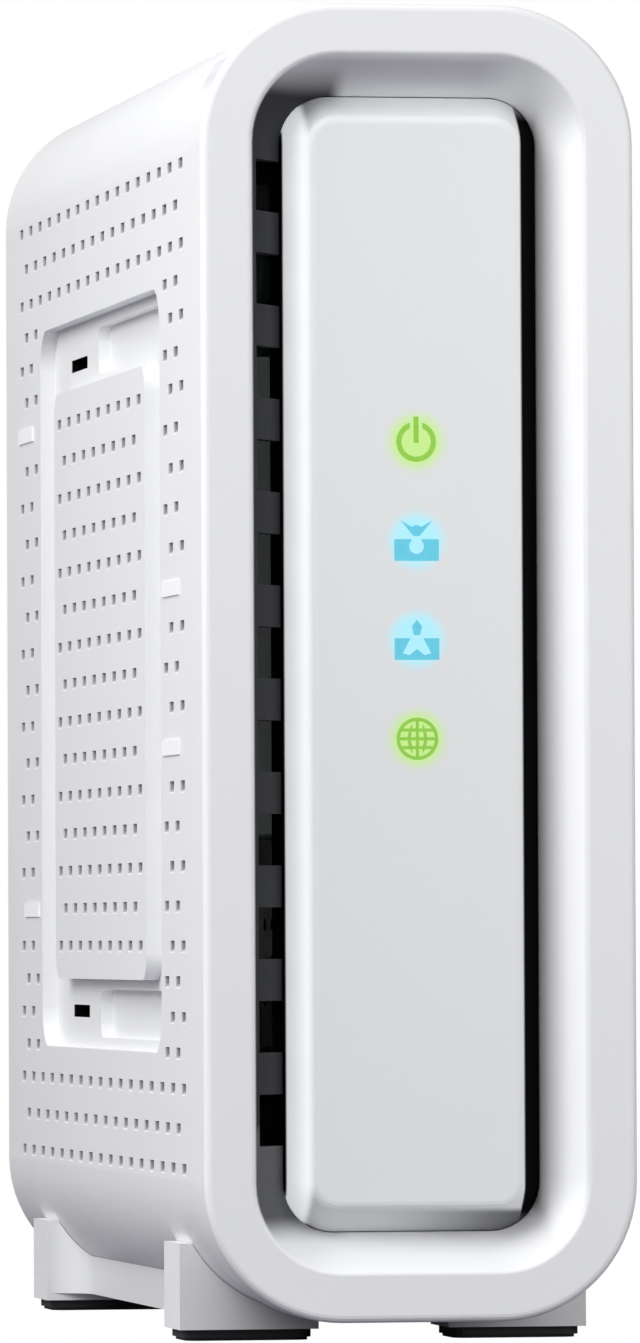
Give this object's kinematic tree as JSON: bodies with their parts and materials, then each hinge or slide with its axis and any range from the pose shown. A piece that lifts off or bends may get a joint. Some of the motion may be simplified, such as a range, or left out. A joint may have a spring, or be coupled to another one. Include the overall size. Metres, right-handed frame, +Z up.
{
  "type": "cable modem",
  "caption": "Slim upright cable modem with a ringed front, lit status icons, perforated side shells, a footed base and rear coaxial, network and power ports.",
  "frame": {"origin": "on the floor, under the middle of the whole part", "axes": "+Z up, -Y out of the front with the icons, +X to the right seen from the front"},
  "size_m": [0.0426, 0.14, 0.13],
  "materials": {
    "case_plastic": "satin moulded ABS",
    "panel_plastic": "satin moulded ABS",
    "icon_green": "translucent, lit from behind",
    "icon_cyan": "translucent, lit from behind",
    "pad_rubber": "matte",
    "screw_steel": "zinc plated",
    "board_laminate": "solder mask on glass laminate",
    "chip_resin": "matte moulded resin",
    "thermal_silicone": "soft silicone",
    "sink_aluminium": "extruded",
    "pin_nylon": "moulded nylon",
    "spring_steel": "drawn wire",
    "ferrite": "pressed ferrite",
    "capacitor_sleeve": "lacquered can",
    "ceramic": "fired ceramic",
    "shield_tin": "tin-plated sheet",
    "led_resin": "clear resin over phosphor",
    "guide_clear": "clear acrylic",
    "baffle_plastic": "moulded",
    "connector_nickel": "nickel plated",
    "insulator_plastic": "moulded polyethylene",
    "contact_gold": "gold flash",
    "button_plastic": "moulded"
  },
  "bodies": {
    "modem_case": {"front_bezel": "case_plastic", "front_panel": "panel_plastic", "icon_power": "icon_green", "icon_receive": "icon_cyan", "icon_send": "icon_cyan", "icon_online": "icon_green", "left_shell": "case_plastic", "right_shell": "case_plastic", "rear_panel": "case_plastic", "base_stand": "case_plastic", "foot_pad_front_left": "pad_rubber", "foot_pad_front_right": "pad_rubber", "foot_pad_rear_left": "pad_rubber", "foot_pad_rear_right": "pad_rubber", "base_screws": "screw_steel", "panel_screws": "screw_steel", "rear_screws": "screw_steel", "main_board": "board_laminate", "board_screws": "screw_steel", "modem_processor": "chip_resin", "thermal_pad": "thermal_silicone", "heat_sink": "sink_aluminium", "heat_sink_pins": "pin_nylon", "heat_sink_springs": "spring_steel", "memory_chip_a": "chip_resin", "memory_chip_b": "chip_resin", "flash_chip": "chip_resin", "regulator_chip": "chip_resin", "power_inductors": "ferrite", "electrolytic_capacitors": "capacitor_sleeve", "ceramic_capacitors": "ceramic", "crystal": "shield_tin", "tuner_chip": "chip_resin", "tuner_shield_frame": "shield_tin", "tuner_shield_lid": "shield_tin", "ethernet_transformers": "chip_resin", "status_leds": "led_resin", "light_guide": "guide_clear", "light_baffle": "baffle_plastic", "coax_body": "connector_nickel", "coax_insulator": "insulator_plastic", "coax_contact": "contact_gold", "coax_washer": "connector_nickel", "coax_nut": "connector_nickel", "ethernet_a_housing": "baffle_plastic", "ethernet_a_shield": "shield_tin", "ethernet_a_contacts": "contact_gold", "ethernet_b_housing": "baffle_plastic", "ethernet_b_shield": "shield_tin", "ethernet_b_contacts": "contact_gold", "power_jack_housing": "baffle_plastic", "power_jack_pin": "connector_nickel", "power_jack_spring": "contact_gold", "reset_switch_body": "baffle_plastic"},
    "reset_plunger": {"reset_button": "button_plastic"}
  },
  "joints": [
    {"name": "reset_press", "type": "slide", "parent": "modem_case", "child": "reset_plunger", "axis": [0, -1, 0], "range_m": [0, 0.0003], "stiffness_N_per_m": 1500}
  ]
}
